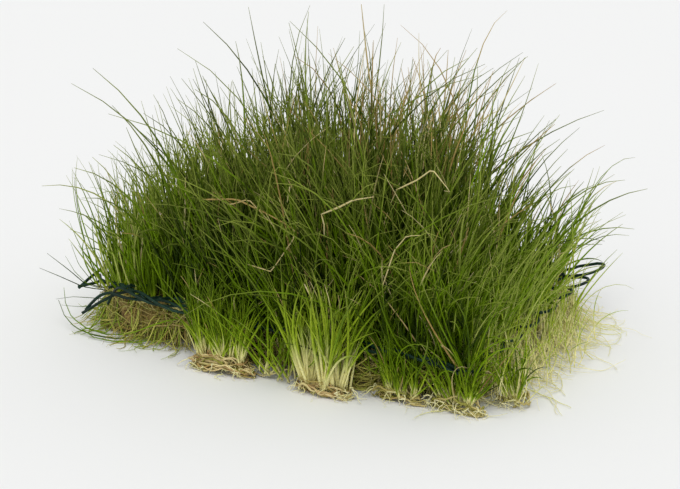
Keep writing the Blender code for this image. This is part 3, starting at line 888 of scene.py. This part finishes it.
between["low"] = np.maximum(between["low"], (-0.5, -0.4))
between["high"] = np.maximum(between["high"], (-0.9, -0.5))
left_end = edge_blades(
    60, (-71.5, -63), (-44, 30), (11, 13), (12, 46), (0.25, -0.25, 0), (0.4, -0.3, 0), (0.16, 0.3),
    (0.3, 1.2), (2, 2),
)
mound = np.concatenate([mound, skirt, right_end, right_foot, between, left_end])

tuft_middles = []
for row in range(-TUFT_ROWS_EACH_WAY, TUFT_ROWS_EACH_WAY + 1):
    stagger = TUFT_PITCH_X / 2 if row % 2 == 0 else 0.0
    for column in range(-4, 4):
        middle = column * TUFT_PITCH_X + stagger
        if abs(middle) < TUFTS_REACH[0] + WIRE_RADIUS:
            tuft_middles.append((middle, row * TUFT_PITCH_Y))
apart = np.linalg.norm(mound["root"][:, None, :2] - np.array(tuft_middles)[None], axis=2)
nearest_tuft = np.argmin(apart, axis=1)
for number in range(len(tuft_middles)):
    grass(f"grass_tuft_{number + 1:02d}", f"tuft_{number + 1:02d}", mound[nearest_tuft == number])

# Edge tufts
# Tufts on the ground in front of the mat's edge. Their stalks are pale at the foot, for 4 to 17 mm, and
# stand on a bundle of creeping stems laid round one another, with loose rootlets at its foot.
EDGE_TUFTS = (
    # x, y, half length, half depth, height, blades, upright share, pale part, creeping stems, their height,
    # rootlets, and the blades' thickness as a share, with lengths in millimetres
    (-9.0, -59.2, 11.0, 3.4, 32.0, 270, 0.8, 7.0, 110, 6.5, 18, 0.72),
    (29.0, -58.6, 9.5, 3.6, 44.0, 200, 1.0, 17.0, 60, 3.5, 22, 1.0),
    (52.0, -52.4, 8.5, 2.2, 36.0, 92, 0.3, 3.6, 34, 4.2, 16, 0.7),
    (71.5, -51.2, 8.5, 2.2, 34.0, 92, 0.25, 3.6, 34, 4.2, 16, 0.7),
    (83.4, -36.4, 4.8, 4.8, 30.0, 50, 0.3, 4.5, 20, 3.6, 10, 0.62),
)
stem_skin = root_finish(
    "creeping stems", (240, 222, 162), (176, 142, 88), (146, 150, 52), (128, 94, 54), (220, 206, 138),
)
for number, row in enumerate(EDGE_TUFTS, start=1):
    x, y, half_length, half_depth, height, count, upright, pale, stems, stem_height, rootlets, thickness = row
    standing = upright > 0.5
    dice = np.random.default_rng(50 + number)
    middle = np.array((x, y)) * MM
    half = np.array((half_length, half_depth)) * MM
    turn = dice.uniform(0, 2 * np.pi, count)
    spot = level_way(turn) * np.sqrt(dice.random((count, 1)))
    bunch = dice.integers(0, count // 7, count)
    bunch_lean = dice.normal(0, 0.16, (count // 7, 2))[bunch]
    spot = spot[bunch] * 0.85 + dice.normal(0, 0.06, (count, 2))
    tuft = np.zeros(count, BLADE)
    tuft["root"][:, :2] = middle + spot * half
    tuft["root"][:, 2] = dice.uniform(0.15, 1.0, count) ** 0.6 * stem_height * MM
    tuft["height"] = height * MM * dice.uniform(0.3, 1.0, count) * (0.5 + 0.5 * upright)
    tuft["low"] = spot * (0.25, 0.12) + bunch_lean + dice.normal(0, 0.1 + 0.3 * (1 - upright), (count, 2))
    tuft["high"] = spot * (0.4, 0.2) + bunch_lean + dice.normal(0, 0.5 + 0.6 * (1 - upright), (count, 2))
    tuft["low"] = np.maximum(tuft["low"], (-0.3, -0.4))
    tuft["high"] = np.maximum(tuft["high"], (-0.5 if standing else -0.9, -0.7))
    tuft["bend"] = dice.uniform(0.9, 3.0, count)
    tuft["thickness"] = drawn(dice, (0.24, 0.52), count) * thickness
    tuft["tint"] = dice.uniform(0.4, 1.0, count) - (0 if standing else 0.1)
    tuft["dry"] = np.where(dice.random(count) < 0.1, 0.2, -0.2)
    tuft["straw"] = dice.random(count) < 0.03
    tuft["pale"] = pale * MM * dice.uniform(0.5, 1.5, count)
    grass(f"grass_edge_tuft_{number:02d}", f"edge_tuft_{number:02d}", tuft)

    begin = dice.uniform(0, 2 * np.pi, (stems, 1))
    turn = begin + dice.choice((-1, 1), (stems, 1)) * dice.uniform(0.5, 1.9, (stems, 1)) * way
    ring = dice.uniform(0.3, 1.15, (stems, 1)) ** 0.5 + wiggle(dice, stems, way, 0.14, 1.0)
    flat = level_way(turn) * half * ring[..., None]
    level = dice.uniform(0.1, 1.0, (stems, 1)) * stem_height * MM * (1.1 - 0.5 * np.cos(turn) ** 2)
    level = np.clip(level + wiggle(dice, stems, way, 1.3 * MM, 0.8), 0.5 * MM, 9 * MM)
    tint, green = ((0, 1), (1, 3)) if standing else ((0.35, 1.35), (1, 0.8))
    lay_roots(
        f"creeping_stems_{number:02d}", dice, stem_skin, flat + middle, level, (0.2, 0.48), (0.5, 0.4), tint,
        green, sides=5,
    )

    begin = dice.uniform(-np.pi, 0.2, (rootlets, 1))
    out = level_way(begin)
    reach = drawn(dice, (1, 5.5), (rootlets, 1)) * way
    flat = middle + out * half + unit(out * half) * reach[..., None]
    swing = wiggle(dice, rootlets, way, 2.2 * MM, 0.8)
    flat = flat + np.concatenate([-out[..., 1:], out[..., :1]], axis=2) * swing[..., None]
    drop = drawn(dice, (0, 4), (rootlets, 1)) * (1 - way) ** 2
    arch = drawn(dice, (0, 3), (rootlets, 1)) * np.sin(np.pi * way)
    level = drop + arch + 0.3 * MM
    lay_roots(
        f"rootlets_{number:02d}", dice, straw_skin, flat, level, (0.07, 0.2), (0.8, 0.4), (0, 0.5), (0.4, 1),
    )

# Stray blades
# Straw coloured blades of last season, kinked where they broke and caught in the grass, and living ones that
# lie over the ground or stand out at the left corner.
STRAY_BLADES = (
    # half thickness, paleness, dead or not, then points x, y, z, with lengths in millimetres
    (0.34, 0.4, 1, (-14, -61, 57), (-1, -61, 59), (10, -61, 56), (16, -61, 54), (21, -60, 51)),
    (0.26, 0.6, 1, (-12, -61, 60), (-3, -62, 57), (4, -62, 60), (13, -61, 52)),
    (0.24, 0.7, 1, (3, -62, 39), (12, -62, 38), (21, -62, 51), (14, -61, 62)),
    (0.36, 1.0, 1, (30, -62, 59), (36, -62, 62), (41, -62, 65), (48, -62, 67)),
    (0.24, 0.8, 1, (30, -62, 59), (31, -62, 56), (31, -62, 52)),
    (0.26, 0.8, 1, (50, -60, 39), (54, -60, 51), (58, -60, 56), (63, -60, 57)),
    (0.28, 0.8, 1, (50, -52, 67), (57, -52, 71), (62, -52, 75), (68, -52, 69), (66, -52, 69)),
    (0.26, 1.0, 1, (19, -62, 66), (18, -62, 61)),
    (0.26, 1.0, 1, (27, -67, 38), (30, -67, 33)),
    (0.34, 0.6, 1, (12, 0, 70), (12, 0, 83), (11, 0, 88), (10, 0, 95), (9, 0, 103), (8, 0, 111)),
    (0.26, 1.0, 1, (1, -56, 1), (5, -57, 0.6), (10, -57, 2.5), (14, -56, 4.5), (19, -57, 5)),
    (0.28, 0.5, 0, (-49, -48, 1.2), (-56, -54, 1), (-64, -55, 1.2), (-72, -54, 2), (-78, -52, 4.5),
     (-82, -50, 9)),
    (0.26, 0.8, 0, (-54, -48, 1.2), (-60, -52, 1), (-68, -53, 2.2), (-75, -52, 4.6), (-79, -50, 8.5),
     (-81, -48, 13)),
    (0.3, 0.9, 0, (-41, -45, 1.2), (-48, -53, 0.8), (-56, -56, 0.8), (-63, -56, 0.9), (-70, -54, 2.5)),
    (0.19, 0.2, 0, (-66, -43, 13), (-73, -47.5, 14.5), (-80, -51, 18), (-88, -52, 20)),
    (0.2, 0.2, 0, (-66, -42, 13), (-74, -46, 15.5), (-79, -48, 20), (-86, -50, 25)),
    (0.14, 0.4, 0, (-65, -43, 10), (-71, -47, 10.8), (-76, -49.5, 11), (-81, -52.5, 10.2)),
    (0.13, 0.4, 0, (-65, -43, 8.5), (-71, -47, 7.6), (-76, -49, 7.4), (-80, -51, 7.8)),
    (0.14, 0.6, 0, (-67, -42, 12.5), (-72, -46, 15), (-76, -48, 19.5), (-79, -49, 25)),
    (0.15, 0.5, 0, (-67, -41, 12.5), (-71, -45, 16), (-75, -47, 22), (-78, -47, 29)),
    (0.28, 1.0, 0, (-31, -46, 10.6), (-36, -51, 10), (-41, -53.5, 8), (-47, -54.5, 5), (-54, -54, 2.6)),
)
STRAY_RINGS = 14
lines = np.array([even_points(np.array(row[3:]) * MM, STRAY_RINGS) for row in STRAY_BLADES])
thickness, tint, dead = np.array([row[:3] for row in STRAY_BLADES]).T
radii = (thickness * MM)[:, None] * thinning(STRAY_RINGS, 0.6, 0.3)
marks = {"along": 0.5, "from_root": 50 * MM, "dry": -0.2, "pale": 12 * MM}
marks = {mark: np.full(len(lines), value) for mark, value in marks.items()}
marks |= {"tint": tint, "straw": dead}
strands("stray_blades", lines, radii, (0.1, 1, 0.05), 5, marks, blade_skin)

# Floor and light
# A pale tabletop in a bright soft room, with a very wide lamp above, in front and a little to the right. None
# of it is part of the object.
FLOOR_RADIUS = 3.0
ROOM_COLOUR = (0.98, 0.99, 1.0, 1.0)
ROOM_STRENGTH = 0.6
LAMP_STRENGTH = 1.72
LAMP_WIDTH = math.radians(50)
LAMP_TURN = (math.radians(26), math.radians(12), 0)
bpy.ops.mesh.primitive_circle_add(vertices=128, radius=FLOOR_RADIUS, fill_type="NGON")
floor = bpy.context.object
floor.name = "tabletop"
tabletop = Finish("pale tabletop")
floor.data.materials.append(tabletop.surface(linear(238, 238, 237), 0.9))

world = bpy.data.worlds.new("bright room")
world.use_nodes = True
background = world.node_tree.nodes["Background"].inputs
background["Color"].default_value = ROOM_COLOUR
background["Strength"].default_value = ROOM_STRENGTH
bpy.context.scene.world = world
softbox = bpy.data.lights.new("softbox", "SUN")
softbox.energy = LAMP_STRENGTH
softbox.angle = LAMP_WIDTH
new_object("softbox", softbox).rotation_euler = LAMP_TURN

# Camera
# A long lens, where the photograph was taken from.
AZIMUTH, ELEVATION = math.radians(30.5), math.radians(17.2)
CAMERA_DISTANCE = 0.64
LENS_LENGTH, SENSOR_WIDTH = 100, 36
NEAREST_SEEN = 0.01
AIM = Vector((0, 0, 28.3 * MM))
back = Vector((
    math.sin(AZIMUTH) * math.cos(ELEVATION), -math.cos(AZIMUTH) * math.cos(ELEVATION), math.sin(ELEVATION),
))
camera = bpy.data.cameras.new("camera")
camera.lens = LENS_LENGTH
camera.sensor_width = SENSOR_WIDTH
camera.clip_start = NEAREST_SEEN
viewpoint = new_object("camera", camera)
viewpoint.location = AIM + back * CAMERA_DISTANCE
viewpoint.rotation_euler = (-back).to_track_quat("-Z", "Y").to_euler()
bpy.context.scene.camera = viewpoint
bpy.context.scene.view_settings.view_transform = "Standard"
